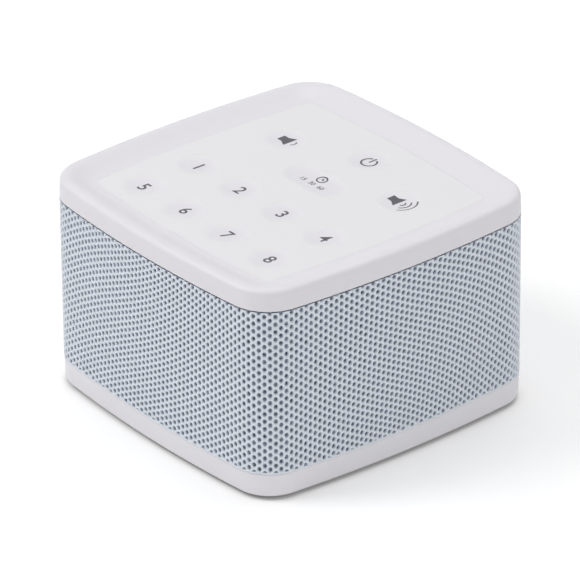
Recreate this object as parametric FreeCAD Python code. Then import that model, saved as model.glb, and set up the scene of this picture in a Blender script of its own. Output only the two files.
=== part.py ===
import FreeCAD, Part
import math
import os

# White noise sound machine. Millimetres, +Z up, -Y is the front, which the key labels face.
# The origin is on the table, under the middle of the machine.
Vector = FreeCAD.Vector
UP = Vector(0, 0, 1)
ORIGIN = Vector(0, 0, 0)

# Driving dimensions of the whole machine.
SIDE = 110.0             # width and depth, over the middles of the bowed sides
HEIGHT = 70.0            # table to the crest of the rim
BOW_RADIUS = 438.0       # all four sides bow outwards on this radius
CORNER_RADIUS = 13.6     # of the cap and the fabric
FOOT_STAND = 1.0         # the feet lift the base off the table by this much
BASE_TOP = 8.85          # upper edge of the base band
CAP_LOW = 63.25          # lower edge of the cap's side band
PANEL_DROP = 2.55        # the key panel lies this far below the crest
RIM_WIDTH = 11.3         # outer face to the edge of the panel

# The base is a little smaller than the cap.
BASE_HALF = 54.7
BASE_CORNER = 12.6

# Wall thicknesses, and the fabric's.
CAP_WALL = 2.2
BASE_WALL = 1.8
FLOOR = 2.0
FRAME_WALL = 2.0
FABRIC = 1.3
SLIP = 0.15              # clearance between parts that slide together once

# The stack of parts under the keys, from the top.
PANEL_TOP = HEIGHT - PANEL_DROP
PANEL_THICK = 1.0
CARRIER_THICK = 1.5
CARRIER_TOP = PANEL_TOP - PANEL_THICK
CARRIER_LOW = CARRIER_TOP - CARRIER_THICK
BOARD_TOP = 60.5
BOARD_THICK = 1.6
BOARD_LOW = BOARD_TOP - BOARD_THICK
BOARD_HALF = 41.0

# Keys: places in plan, size, dish and travel.
KEY_RADIUS = 6.9
KEY_GAP = 0.15
KEY_THICK = 1.5
KEY_TRAVEL = 0.5
DISH_DEPTH = 0.55
COLUMNS = (-30.2, -10.07, 10.07, 30.2)
ROWS = (-10.8, -31.6)
POWER_PLACE = (0.0, 30.7)
VOLUME_X, VOLUME_Y = 27.2, 20.5
TIMER_PLACE = (0.0, 9.9)
TIMER_RADIUS = 6.2       # end radius of the wide timer key
TIMER_REACH = 6.4        # its end centres lie this far from its middle
TIMER_STEM_Y = 13.2
SWITCH_SIDE = 6.0
SWITCH_HEIGHT = 3.4
SWITCH_WELL = 1.0
STEM_RADIUS = 1.5
LED_PITCH = 4.1
LED_Y = 8.4

# The frame inside the fabric.
FRAME_INSET = FABRIC + 0.1
FRAME_INNER = FRAME_INSET + FRAME_WALL
BAFFLE_LOW = 25.5
BAFFLE_TOP = 28.0
SLOT_WIDTH = 3.0
SLOT_PITCH = 6.0
SLOTS_PER_SIDE = 13
SLOT_LOW, SLOT_HIGH = 11.0, 24.0
WEB_LOW, WEB_TOP = 54.5, 56.9
CAP_POST = 43.6          # x and y of the posts that join the cap to the frame
CAP_POST_RADIUS = 3.2
BASE_POST = 41.5         # x and y of the posts that join the base to the frame
BASE_POST_RADIUS = 4.5
BASE_POST_TOP = 7.2

# Feet and screws.
FOOT_RADIUS = 5.0
FOOT_SINK = 1.2
M3_SHAFT, M3_HEAD, M3_HEAD_HEIGHT = 1.45, 2.75, 2.0
SMALL_SHAFT, SMALL_HEAD, SMALL_HEAD_HEIGHT = 0.95, 2.0, 1.4
BOARD_SCREWS = ((-37.5, -37.5), (37.5, -37.5), (-37.5, 37.5), (37.5, 37.5),
                (-37.5, -3.0), (37.5, -3.0), (0.0, -21.2))
STAKES = [(x, y) for x in (-22.0, 22.0) for y in (-45.3, 45.3)]
STAKES += [(x, y) for x in (-45.3, 45.3) for y in (-22.0, 22.0)]
STAKE_RADIUS, STAKE_HEAD = 1.0, 2.0

# Speaker, facing down, by radius and height.
SPEAKER_HOLE = 30.0
FLANGE_OUT, FLANGE_IN = 33.0, 28.6
FLANGE_LOW, FLANGE_TOP = 29.0, 30.4
EAR_PLACE, EAR_RADIUS = 26.0, 4.0
BASKET_TOP = 39.0
PLATE_TOP = 40.2
GAP_PLATE_TOP = 43.2
MAGNET_TOP = 49.2
BACK_PLATE_TOP = 51.2
COIL_RADIUS = 10.2
POLE_RADIUS = 9.5
CONE_EDGE, CONE_LIP = 24.6, 23.2

# Power inlet in the middle of the back of the base.
INLET_Z = 5.2
INLET_WIDTH, INLET_HEIGHT, INLET_LENGTH = 8.9, 3.2, 7.3
INLET_MOUTH = 54.2       # y of the shell's open end
INLET_BOARD_THICK = 1.0

WIRE_RADIUS = 0.65
GROMMET_PLACE = (13.0, 43.0)
GROMMET_HOLE = 3.0

os.makedirs("parts", exist_ok=True)


def save(name, shape):
    """Writes one named part; a list of solids is one group of like parts."""
    if isinstance(shape, (list, tuple)):
        shape = Part.makeCompound(list(shape))
    shape.exportStep("parts/" + name + ".step")
    print(name, round(shape.Volume, 1), "mm3,", len(shape.Solids), "solids, valid", shape.isValid())


class BowedSquare:
    """A square with bowed sides and round corners, and everything parallel to it."""

    def __init__(self, half, corner):
        self.half, self.corner = half, corner
        self.reach = BOW_RADIUS - half
        self.tie = BOW_RADIUS - corner
        self.corner_centre = (math.sqrt(2 * self.tie ** 2 - self.reach ** 2) - self.reach) / 2
        self.side_angle = math.degrees(math.atan2(self.corner_centre, self.corner_centre + self.reach))

    def wire(self, inset, z):
        share = (BOW_RADIUS - inset) / self.tie
        along = share * self.corner_centre
        out = share * (self.corner_centre + self.reach) - self.reach
        round_middle = self.corner_centre + (self.corner - inset) * math.sqrt(0.5)
        side = Part.Arc(Vector(out, -along, z), Vector(self.half - inset, 0, z), Vector(out, along, z))
        corner = Part.Arc(Vector(out, along, z), Vector(round_middle, round_middle, z), Vector(along, out, z))
        edges = []
        for turn in (0, 90, 180, 270):
            for arc in (side, corner):
                edges.append(arc.toShape().rotated(ORIGIN, UP, turn))
        return Part.Wire(edges)

    def slab(self, inset, low, high):
        return Part.Face(self.wire(inset, low)).extrude(Vector(0, 0, high - low))

    def ring(self, outer, inner, low, high):
        return self.slab(outer, low, high).cut(self.slab(inner, low, high))

    def sweep(self, edges):
        """Carries a section round the square. Its edges lie in the plane y = 0."""
        section = Part.Face(Part.Wire(edges))
        side_centre = Vector(-self.reach, 0, 0)
        corner_centre = Vector(self.corner_centre, self.corner_centre, 0)
        side = section.rotated(side_centre, UP, -self.side_angle)
        side = side.revolve(side_centre, UP, 2 * self.side_angle)
        corner = section.rotated(side_centre, UP, self.side_angle)
        corner = corner.revolve(corner_centre, UP, 90 - 2 * self.side_angle)
        pieces = [piece.rotated(ORIGIN, UP, turn) for turn in (0, 90, 180, 270) for piece in (side, corner)]
        return pieces[0].multiFuse(pieces[1:]).removeSplitter()


BODY = BowedSquare(SIDE / 2, CORNER_RADIUS)
BASE = BowedSquare(BASE_HALF, BASE_CORNER)


def cylinder(radius, low, high, place=(0.0, 0.0)):
    return Part.makeCylinder(radius, high - low, Vector(place[0], place[1], low))


def box(width, depth, low, high, place=(0.0, 0.0)):
    corner = Vector(place[0] - width / 2, place[1] - depth / 2, low)
    return Part.makeBox(width, depth, high - low, corner)


def tube(outer, inner, low, high, place=(0.0, 0.0)):
    return cylinder(outer, low, high, place).cut(cylinder(inner, low, high, place))


def stadium(radius, reach, low, high, place):
    """An upright plate with round ends, long along X."""
    middle = box(2 * reach, 2 * radius, low, high, place)
    ends = [cylinder(radius, low, high, (place[0] + s * reach, place[1])) for s in (-1, 1)]
    return middle.multiFuse(ends).removeSplitter()


def four(value):
    return [(x * value, y * value) for x in (-1, 1) for y in (-1, 1)]


def lines(points, close=True):
    """Straight edges through points (r, z) in the plane y = 0."""
    corners = [Vector(r, 0, z) for r, z in points]
    if close:
        corners.append(corners[0])
    return [Part.LineSegment(a, b).toShape() for a, b in zip(corners, corners[1:])]


def arc(start, middle, end):
    return Part.Arc(*(Vector(r, 0, z) for r, z in (start, middle, end))).toShape()


def turned(edges):
    """A solid of revolution about the speaker's axis."""
    return Part.Face(Part.Wire(edges)).revolve(ORIGIN, UP, 360)


def screw(shaft, head, head_height, length, place, z, point=1):
    """A pan-head screw with a cross recess. Its head sits under z and its shaft points up, or the reverse."""
    body = cylinder(shaft, 0, length).fuse(cylinder(head, -head_height, 0))
    body = body.makeFillet(0.35 * head_height, [e for e in body.Edges
                                                if abs(e.BoundBox.ZMax + head_height) < 1e-6])
    recess = [box(1.3 * head, 0.28 * head, -head_height, -0.45 * head_height),
              box(0.28 * head, 1.3 * head, -head_height, -0.45 * head_height)]
    body = body.cut(recess[0]).cut(recess[1])
    if point < 0:
        body = body.rotated(ORIGIN, Vector(1, 0, 0), 180)
    return body.translated(Vector(place[0], place[1], z))


def tangent_run(points):
    """Straight runs joined by arcs, each as large as the two runs it joins allow."""
    points = [Vector(*p) for p in points]
    edges, start, radii = [], points[0], []
    for before, here, after in zip(points, points[1:], points[2:]):
        way_in = (here - before).normalize()
        way_out = (after - here).normalize()
        half_turn = way_in.getAngle(way_out) / 2
        cut = 0.45 * min((here - before).Length, (after - here).Length)
        radius = cut / math.tan(half_turn)
        a, b = here - way_in * cut, here + way_out * cut
        to_centre = (way_out - way_in).normalize()
        middle = here + to_centre * (radius / math.cos(half_turn) - radius)
        edges.append(Part.LineSegment(start, a).toShape())
        edges.append(Part.Arc(a, middle, b).toShape())
        start = b
        radii.append(round(radius, 1))
    edges.append(Part.LineSegment(start, points[-1]).toShape())
    print("bend radii", radii)
    return Part.Wire(edges)


def wire_along(points):
    path = tangent_run(points)
    start = Vector(*points[0])
    circle = Part.Circle(start, Vector(*points[1]) - start, WIRE_RADIUS)
    solid = path.makePipeShell([Part.Wire([circle.toShape()])], True, False)
    print("volume over section times length", round(solid.Volume / (math.pi * WIRE_RADIUS ** 2 * path.Length), 3))
    return solid


# The rim: skirt, rounded outer edge, crest, and the S-shaped slope down to the panel.
def top_cap():
    half = SIDE / 2
    edge, draft = 1.6, 0.2
    crest = draft + edge + 0.5
    knee = edge * (1 - math.sqrt(0.5))
    slope = Part.BezierCurve()
    slope.setPoles([Vector(half - crest, 0, HEIGHT), Vector(half - crest - 4.3, 0, HEIGHT),
                    Vector(half - RIM_WIDTH + 2.9, 0, PANEL_TOP), Vector(half - RIM_WIDTH, 0, PANEL_TOP)])
    section = lines([(half - crest, HEIGHT), (half - draft - edge, HEIGHT)], close=False)
    section.append(arc((half - draft - edge, HEIGHT), (half - draft - knee, HEIGHT - knee),
                       (half - draft, HEIGHT - edge)))
    section += lines([(half - draft, HEIGHT - edge), (half, CAP_LOW), (half - CAP_WALL, CAP_LOW),
                      (half - CAP_WALL, 67.5), (half - 3.0, 68.1), (half - 6.2, 67.6), (half - 8.0, CARRIER_TOP),
                      (half - RIM_WIDTH, CARRIER_TOP), (half - RIM_WIDTH, PANEL_TOP)], close=False)
    section.append(slope.toShape())
    cap = BODY.sweep(section)
    posts = []
    for place in four(CAP_POST):
        posts.append(cylinder(CAP_POST_RADIUS, WEB_TOP, PANEL_TOP - 0.4, place))
    stakes = [cylinder(STAKE_RADIUS, CARRIER_LOW - 0.9, CARRIER_TOP + 0.4, place) for place in STAKES]
    stakes += [cylinder(STAKE_HEAD, CARRIER_LOW - 0.9, CARRIER_LOW, place) for place in STAKES]
    cap = cap.multiFuse(posts + stakes)
    for place in four(CAP_POST):
        cap = cap.cut(cylinder(M3_SHAFT + 0.05, WEB_TOP, 66.0, place))
    return cap


def key_places():
    places = {}
    for row, y in enumerate(ROWS):
        for column, x in enumerate(COLUMNS):
            places["key_sound_" + str(4 * row + column + 1)] = (x, y)
    places["key_power"] = POWER_PLACE
    places["key_volume_down"] = (-VOLUME_X, VOLUME_Y)
    places["key_volume_up"] = (VOLUME_X, VOLUME_Y)
    return places


def key_holes(gap, low, high):
    holes = [cylinder(KEY_RADIUS + gap, low, high, place) for place in key_places().values()]
    holes.append(stadium(TIMER_RADIUS + gap, TIMER_REACH, low, high, TIMER_PLACE))
    return holes


# The membrane's flat part, with a hole round each key.
def key_panel():
    panel = BODY.slab(RIM_WIDTH + 0.05, CARRIER_TOP, PANEL_TOP)
    return panel.cut(Part.makeCompound(key_holes(KEY_GAP, CARRIER_TOP, PANEL_TOP)))


def dish_ball(half_width):
    """Radius of the ball that leaves a dish of that half width and the dish depth."""
    return (half_width ** 2 + DISH_DEPTH ** 2) / (2 * DISH_DEPTH)


def stem(place):
    return cylinder(STEM_RADIUS, BOARD_TOP + SWITCH_HEIGHT - 0.4, PANEL_TOP - KEY_THICK, place).fuse(
        cylinder(STEM_RADIUS + 0.7, BOARD_TOP + SWITCH_HEIGHT + 0.9, PANEL_TOP - KEY_THICK, place))


def round_key(place):
    """A dished disc on a stem that reaches its switch."""
    disc = cylinder(KEY_RADIUS, PANEL_TOP - KEY_THICK, PANEL_TOP, place)
    ball = dish_ball(KEY_RADIUS - 0.3)
    disc = disc.cut(Part.makeSphere(ball, Vector(place[0], place[1], PANEL_TOP - DISH_DEPTH + ball)))
    return disc.fuse(stem(place)).removeSplitter()


def timer_key():
    plate = stadium(TIMER_RADIUS, TIMER_REACH, PANEL_TOP - KEY_THICK, PANEL_TOP, TIMER_PLACE)
    ball = dish_ball(TIMER_RADIUS - 0.3)
    x, y = TIMER_PLACE
    z = PANEL_TOP - DISH_DEPTH + ball
    dish = [Part.makeSphere(ball, Vector(x + s * TIMER_REACH, y, z)) for s in (-1, 1)]
    dish.append(Part.makeCylinder(ball, 2 * TIMER_REACH, Vector(x - TIMER_REACH, y, z), Vector(1, 0, 0)))
    for tool in dish:
        plate = plate.cut(tool)
    return plate.fuse(stem((x, TIMER_STEM_Y))).removeSplitter()


# The plate under the membrane: key guides above, stand-offs for the board below.
def key_carrier():
    plate = BODY.slab(8.2, CARRIER_LOW, CARRIER_TOP)
    holes = key_holes(0.3, CARRIER_LOW, CARRIER_TOP)
    holes += [cylinder(CAP_POST_RADIUS + 0.3, CARRIER_LOW, CARRIER_TOP, place) for place in four(CAP_POST)]
    holes += [cylinder(STAKE_RADIUS + 0.1, CARRIER_LOW, CARRIER_TOP, place) for place in STAKES]
    plate = plate.cut(Part.makeCompound(holes))
    plate = plate.multiFuse([cylinder(2.6, BOARD_TOP, CARRIER_LOW, place) for place in BOARD_SCREWS])
    pilots = [cylinder(SMALL_SHAFT + 0.05, BOARD_TOP, CARRIER_LOW + 0.2, place) for place in BOARD_SCREWS]
    return plate.cut(Part.makeCompound(pilots))


def main_board():
    board = box(2 * BOARD_HALF, 2 * BOARD_HALF, BOARD_LOW, BOARD_TOP)
    board = board.makeFillet(3.0, [e for e in board.Edges if e.Length < BOARD_THICK + 0.01])
    holes = [cylinder(1.2, BOARD_LOW, BOARD_TOP, place) for place in BOARD_SCREWS]
    return board.cut(Part.makeCompound(holes))


def switch_bodies():
    places = list(key_places().values()) + [(TIMER_PLACE[0], TIMER_STEM_Y)]
    top = BOARD_TOP + SWITCH_HEIGHT
    bodies = []
    for place in places:
        can = box(SWITCH_SIDE, SWITCH_SIDE, BOARD_TOP, top, place)
        can = can.makeChamfer(0.5, [e for e in can.Edges if abs(e.Length - SWITCH_HEIGHT) < 1e-6])
        bodies.append(can.cut(cylinder(STEM_RADIUS + 0.3, top - SWITCH_WELL, top, place)))
    return bodies


def timer_leds():
    leds = []
    for step in (-1, 0, 1):
        place = (TIMER_PLACE[0] + step * LED_PITCH, LED_Y)
        base = box(2.0, 1.25, BOARD_TOP, BOARD_TOP + 0.4, place)
        leds.append(base.fuse(box(1.3, 1.25, BOARD_TOP + 0.4, BOARD_TOP + 0.8, place)))
    return leds


def chip(side, legs, low_depth, place):
    """A flat package under the board with short legs along two sides."""
    body = box(side, side, BOARD_LOW - low_depth, BOARD_LOW - 0.1, place)
    pitch = side / legs
    feet = []
    for i in range(legs):
        y = place[1] + (i + 0.5) * pitch - side / 2
        feet.append(box(side + 2.0, 0.45 * pitch, BOARD_LOW - 0.6, BOARD_LOW, (place[0], y)))
    return body.multiFuse(feet)


def capacitors():
    cans = []
    for place in ((-31.0, -22.0), (-31.0, -12.0), (31.0, -22.0)):
        can = cylinder(3.15, BOARD_LOW - 7.0, BOARD_LOW, place)
        rim = [e for e in can.Edges if abs(e.BoundBox.ZMax - BOARD_LOW + 7.0) < 1e-6]
        cans.append(can.makeFillet(0.5, rim))
    return cans


CONNECTORS = ((33.0, 5.0), (GROMMET_PLACE[0], 35.0))
CONNECTOR_DEPTH = 5.0


def board_connectors():
    headers = []
    for place in CONNECTORS:
        header = box(7.5, 5.5, BOARD_LOW - CONNECTOR_DEPTH, BOARD_LOW, place)
        headers.append(header.makeChamfer(0.4, [e for e in header.Edges
                                                if abs(e.BoundBox.ZMax - BOARD_LOW + CONNECTOR_DEPTH) < 1e-6]))
    return headers


# The square tube inside the fabric, with the speaker baffle across it.
def grille_frame():
    wall = BODY.ring(FRAME_INSET, FRAME_INNER, BASE_TOP, CAP_LOW)
    cap_lip = BODY.ring(CAP_WALL + SLIP, FRAME_INNER, CAP_LOW, CAP_LOW + 1.9)
    base_gap = SIDE / 2 - BASE_HALF + BASE_WALL + SLIP
    base_lip = BODY.ring(base_gap, FRAME_INNER, BASE_TOP - 1.6, BASE_TOP)
    baffle = BODY.slab(FRAME_INNER - 0.5, BAFFLE_LOW, BAFFLE_TOP)
    web = BODY.slab(FRAME_INNER - 0.5, WEB_LOW, WEB_TOP).cut(cylinder(52.3, WEB_LOW, WEB_TOP))
    posts = [cylinder(BASE_POST_RADIUS, BASE_POST_TOP + 0.05, BAFFLE_LOW + 0.5, p) for p in four(BASE_POST)]
    bosses = [cylinder(3.4, BAFFLE_LOW - 3.5, FLANGE_LOW, place) for place in four(EAR_PLACE)]
    frame = wall.multiFuse([cap_lip, base_lip, baffle, web] + posts + bosses)
    cuts = [cylinder(SPEAKER_HOLE, BAFFLE_LOW, BAFFLE_TOP),
            cylinder(GROMMET_HOLE, BAFFLE_LOW, BAFFLE_TOP, GROMMET_PLACE)]
    cuts += [cylinder(M3_SHAFT + 0.05, BASE_POST_TOP, 18.0, place) for place in four(BASE_POST)]
    cuts += [cylinder(M3_SHAFT + 0.25, WEB_LOW, WEB_TOP, place) for place in four(CAP_POST)]
    cuts += [cylinder(M3_SHAFT - 0.15, BAFFLE_LOW - 2.5, FLANGE_LOW, place) for place in four(EAR_PLACE)]
    for turn in (0, 90, 180, 270):
        for i in range(SLOTS_PER_SIDE):
            y = (i - (SLOTS_PER_SIDE - 1) / 2) * SLOT_PITCH
            slot = box(10.0, SLOT_WIDTH, SLOT_LOW, SLOT_HIGH, (SIDE / 2 - 3.0, y))
            cuts.append(slot.rotated(ORIGIN, UP, turn))
    return frame.cut(Part.makeCompound(cuts))


def fabric_wrap():
    return BODY.ring(0.0, FABRIC, BASE_TOP + 0.1, CAP_LOW - 0.1)


# The base: band, floor, screw bosses, foot recesses and the inlet's hole.
def base_tray():
    half, low = BASE_HALF, FOOT_STAND
    big, small, draft = 1.2, 0.5, 0.25
    big_knee, small_knee = big * (1 - math.sqrt(0.5)), small * (1 - math.sqrt(0.5))
    section = [arc((half - draft - big, low), (half - draft - big_knee, low + big_knee), (half - draft, low + big))]
    section += lines([(half - draft, low + big), (half, BASE_TOP - small)], close=False)
    section.append(arc((half, BASE_TOP - small), (half - small_knee, BASE_TOP - small_knee), (half - small, BASE_TOP)))
    section += lines([(half - small, BASE_TOP), (half - BASE_WALL, BASE_TOP), (half - BASE_WALL, low + FLOOR),
                      (half - 9.0, low + FLOOR), (half - 9.0, low), (half - draft - big, low)], close=False)
    tray = BASE.sweep(section)
    adds = [BASE.slab(8.9, low, low + FLOOR)]
    adds += [cylinder(BASE_POST_RADIUS + 1.2, low, BASE_POST_TOP, place) for place in four(BASE_POST)]
    adds += [cylinder(2.2, low + FLOOR - 0.1, INLET_Z - INLET_BOARD_THICK, (s * 7.5, 44.0)) for s in (-1, 1)]
    for turn in (45, 135):
        adds.append(box(108.0, 1.4, low + FLOOR - 0.1, low + FLOOR + 1.2).rotated(ORIGIN, UP, turn))
    tray = tray.multiFuse(adds)
    cuts = [cylinder(FOOT_RADIUS + 0.1, low, low + FOOT_SINK, place) for place in four(BASE_POST)]
    cuts += [cylinder(M3_HEAD + 0.25, low, low + FOOT_SINK + 2.2, place) for place in four(BASE_POST)]
    cuts += [cylinder(M3_SHAFT + 0.25, low, BASE_POST_TOP, place) for place in four(BASE_POST)]
    cuts.append(inlet_block(INLET_WIDTH + 0.5, INLET_HEIGHT + 0.5, 10.0, BASE_HALF + 5.0))
    cuts += [cylinder(SMALL_SHAFT + 0.05, low + 0.8, INLET_Z, (s * 7.5, 44.0)) for s in (-1, 1)]
    cuts.append(box(44.0, 28.0, low, low + 0.3, (0.0, -18.0)))
    cuts.append(cylinder(22.2, low + FLOOR, low + FLOOR + 1.3))
    return tray.cut(Part.makeCompound(cuts))


def inlet_block(width, height, length, mouth):
    """A bar with round sides along Y, round the inlet's axis."""
    radius = height / 2
    along = Vector(0, 1, 0)
    start = mouth - length
    ends = [Part.makeCylinder(radius, length, Vector(s * (width / 2 - radius), start, INLET_Z), along)
            for s in (-1, 1)]
    middle = Part.makeBox(width - height, length, height, Vector(-(width - height) / 2, start, INLET_Z - radius))
    return middle.multiFuse(ends).removeSplitter()


def usb_shell():
    outer = inlet_block(INLET_WIDTH, INLET_HEIGHT, INLET_LENGTH, INLET_MOUTH)
    return outer.cut(inlet_block(INLET_WIDTH - 0.6, INLET_HEIGHT - 0.6, INLET_LENGTH - 0.8, INLET_MOUTH))


def usb_tongue():
    floor_y = INLET_MOUTH - INLET_LENGTH + 0.8
    tongue = Part.makeBox(6.7, 5.0, 0.7, Vector(-3.35, floor_y, INLET_Z - 0.35))
    tongue = tongue.makeFillet(0.3, [e for e in tongue.Edges if abs(e.BoundBox.YMin - floor_y - 5.0) < 1e-6])
    return tongue.fuse(inlet_block(INLET_WIDTH - 0.7, INLET_HEIGHT - 0.7, 0.8, floor_y + 0.8))


def usb_board():
    top = INLET_Z
    board = box(22.0, 12.0, top - INLET_BOARD_THICK, top, (0.0, 44.0))
    notch = box(INLET_WIDTH + 0.2, 12.0, top - 2, top + 2, (0.0, INLET_MOUTH - INLET_LENGTH + 5.9))
    holes = [cylinder(1.2, top - 2, top + 1, (s * 7.5, 44.0)) for s in (-1, 1)]
    return board.cut(notch).cut(Part.makeCompound(holes))


# The speaker, from the baffle up.
def speaker_basket():
    wall = turned(lines([(FLANGE_IN, FLANGE_LOW), (FLANGE_OUT, FLANGE_LOW), (FLANGE_OUT, FLANGE_TOP),
                         (30.2, FLANGE_TOP), (21.2, PLATE_TOP), (11.5, PLATE_TOP), (11.5, BASKET_TOP),
                         (20.2, BASKET_TOP), (28.6, FLANGE_TOP)]))
    ears = [cylinder(EAR_RADIUS, FLANGE_LOW, FLANGE_TOP, place) for place in four(EAR_PLACE)]
    ears = [ear.cut(cylinder(FLANGE_IN + 1.0, FLANGE_LOW, FLANGE_TOP)) for ear in ears]
    basket = wall.multiFuse(ears)
    cuts = [cylinder(M3_SHAFT + 0.15, FLANGE_LOW, FLANGE_TOP, place) for place in four(EAR_PLACE)]
    for turn in range(0, 360, 60):
        window = Part.makeBox(14.0, 13.0, 5.6, Vector(18.0, -6.5, FLANGE_TOP + 1.4))
        cuts.append(window.rotated(ORIGIN, UP, turn + 30))
    return basket.cut(Part.makeCompound(cuts))


def speaker_surround():
    """A half roll of thin rubber between two glued lips."""
    low, high, thick = FLANGE_LOW - 0.4, FLANGE_LOW, 0.35
    inner, outer = CONE_EDGE + 0.2, FLANGE_IN
    middle, roll = (inner + outer) / 2, (outer - inner) / 2
    edges = lines([(CONE_LIP, low), (CONE_LIP, high), (inner + thick, high)], close=False)
    edges.append(arc((inner + thick, high), (middle, high - roll + thick), (outer - thick, high)))
    edges += lines([(outer - thick, high), (30.5, high), (30.5, low), (outer, low)], close=False)
    edges.append(arc((outer, low), (middle, low - roll), (inner, low)))
    edges += lines([(inner, low), (CONE_LIP, low)], close=False)
    return turned(edges)


def speaker_cone():
    neck_z = 36.4
    return turned(lines([(CONE_EDGE, FLANGE_LOW), (CONE_EDGE, FLANGE_LOW + 0.5), (CONE_LIP - 0.2, FLANGE_LOW + 0.6),
                         (COIL_RADIUS, neck_z + 0.6), (COIL_RADIUS, neck_z), (CONE_LIP, FLANGE_LOW)]))


def dust_cap():
    """A shallow ball-shaped shell over the coil, its dome facing down."""
    rim, rise, thick, apex_z = 11.4, 3.15, 0.4, 32.4
    ball = (rim ** 2 + rise ** 2) / (2 * rise)
    centre = Vector(0, 0, apex_z + ball)
    dome = Part.makeSphere(ball, centre).cut(Part.makeSphere(ball - thick, centre))
    return dome.common(cylinder(rim + 1.0, apex_z - 1.0, apex_z + rise))


def voice_coil():
    """Paper former with its winding, in the magnet's gap."""
    former = tube(COIL_RADIUS, COIL_RADIUS - 0.3, 36.3, 43.6)
    return former.fuse(tube(COIL_RADIUS + 0.4, COIL_RADIUS - 0.1, 40.3, 43.2))


def speaker_spider():
    """The corrugated disc that centres the voice coil."""
    low, thick, waves, inner, outer = 38.0, 0.35, 4, 11.0, 17.0
    pitch = (outer - inner) / (2 * waves)
    under = [(COIL_RADIUS + 0.05, low), (inner, low)]
    over = [(COIL_RADIUS + 0.05, low + 0.7), (inner, low + 0.7)]
    for i in range(1, 2 * waves + 1):
        lift = 0.35 if i % 2 else 0.0
        under.append((inner + i * pitch, low + lift))
        over.append((inner + i * pitch, low + lift + thick))
    under += [(outer + 0.8, BASKET_TOP - thick), (19.6, BASKET_TOP - thick)]
    over += [(outer + 0.8, BASKET_TOP), (19.6, BASKET_TOP)]
    return turned(lines(under + over[::-1]))


def pole_piece():
    plate = cylinder(19.5, MAGNET_TOP, BACK_PLATE_TOP)
    plate = plate.makeFillet(0.6, [e for e in plate.Edges if abs(e.BoundBox.ZMin - BACK_PLATE_TOP) < 1e-6])
    return plate.fuse(cylinder(POLE_RADIUS, PLATE_TOP, MAGNET_TOP))


def terminal_strip():
    """A small tag board on the side of the basket."""
    board = box(1.2, 11.0, 32.0, 37.0, (31.6, 0.0))
    arm = box(3.6, 5.0, 32.0, 33.2, (29.4, 0.0))
    tags = [box(0.5, 2.2, 35.0, 38.5, (32.45, y)) for y in (-3.0, 3.0)]
    return board.multiFuse([arm] + tags).cut(speaker_basket())


def sound_deflector():
    low = FOOT_STAND + FLOOR
    edges = lines([(0.0, low), (22.0, low), (22.0, low + 1.0)], close=False)
    edges.append(arc((22.0, low + 1.0), (10.0, low + 4.0), (3.0, low + 9.0)))
    edges.append(arc((3.0, low + 9.0), (2.3, low + 9.9), (1.2, low + 10.3)))
    edges += lines([(1.2, low + 10.3), (0.0, low + 10.3), (0.0, low)], close=False)
    return turned(edges)


def foot(place):
    pad = cylinder(FOOT_RADIUS, 0.0, FOOT_STAND + FOOT_SINK, place)
    return pad.makeFillet(0.35, [e for e in pad.Edges if abs(e.BoundBox.ZMax) < 1e-6])


def speaker_wires():
    """Two wires from the terminal tags up to their connector under the board."""
    end = BOARD_LOW - CONNECTOR_DEPTH
    routes = [[(32.45, -3.0, 38.5), (32.45, -3.0, 42.5), (33.4, 0.5, 47.0), (33.2, 3.6, 50.0), (33.2, 3.6, end)],
              [(32.45, 3.0, 38.5), (32.45, 3.0, 42.6), (33.0, 5.3, 46.6), (32.8, 6.4, 49.7), (32.8, 6.4, end)]]
    return [wire_along(route) for route in routes]


def power_wires():
    """Two wires from the inlet's board, through the baffle, up to the main board."""
    y = CONNECTORS[1][1]
    gx, gy = GROMMET_PLACE
    end = BOARD_LOW - CONNECTOR_DEPTH
    wires = []
    for side in (-0.95, 0.95):
        wires.append(wire_along([(9.6, 44.0 + 1.9 * side, INLET_Z), (9.6, 44.0 + 1.9 * side, 10.0),
                                 (12.2, gy + side, 16.0), (gx, gy + side, 22.0), (gx + 0.4, gy + side, 30.5),
                                 (gx + 1.4, gy + side - 0.6, 38.0), (gx + 0.3, y + side + 1.6, 45.0),
                                 (gx, y + side, 49.0), (gx, y + side, end)]))
    return wires


def wire_grommet():
    ring = tube(GROMMET_HOLE - 0.05, 2.0, BAFFLE_LOW - 0.8, BAFFLE_TOP + 0.8, GROMMET_PLACE)
    flanges = [tube(4.2, 2.0, BAFFLE_LOW - 0.8, BAFFLE_LOW, GROMMET_PLACE),
               tube(4.2, 2.0, BAFFLE_TOP, BAFFLE_TOP + 0.8, GROMMET_PLACE)]
    return ring.multiFuse(flanges)


save("base_tray", base_tray())
save("rubber_feet", [foot(place) for place in four(BASE_POST)])
save("case_screws", [screw(M3_SHAFT, M3_HEAD, M3_HEAD_HEIGHT, 12.0, place, FOOT_STAND + FOOT_SINK + 2.2)
                     for place in four(BASE_POST)])
save("sound_deflector", sound_deflector())
save("usb_shell", usb_shell())
save("usb_tongue", usb_tongue())
save("usb_board", usb_board())
save("usb_board_screws", [screw(SMALL_SHAFT, SMALL_HEAD, SMALL_HEAD_HEIGHT, 3.2, (s * 7.5, 44.0), INLET_Z, -1)
                          for s in (-1, 1)])
save("grille_frame", grille_frame())
save("fabric_wrap", fabric_wrap())
save("wire_grommet", wire_grommet())
save("speaker_gasket", tube(FLANGE_OUT, 30.8, BAFFLE_TOP, FLANGE_LOW))
save("speaker_basket", speaker_basket())
save("speaker_surround", speaker_surround())
save("speaker_cone", speaker_cone())
save("dust_cap", dust_cap())
save("voice_coil", voice_coil())
save("speaker_spider", speaker_spider())
save("front_plate", tube(19.5, COIL_RADIUS + 0.8, PLATE_TOP, GAP_PLATE_TOP))
save("ring_magnet", tube(22.0, 12.5, GAP_PLATE_TOP, MAGNET_TOP))
save("pole_piece", pole_piece())
save("terminal_strip", terminal_strip())
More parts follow.
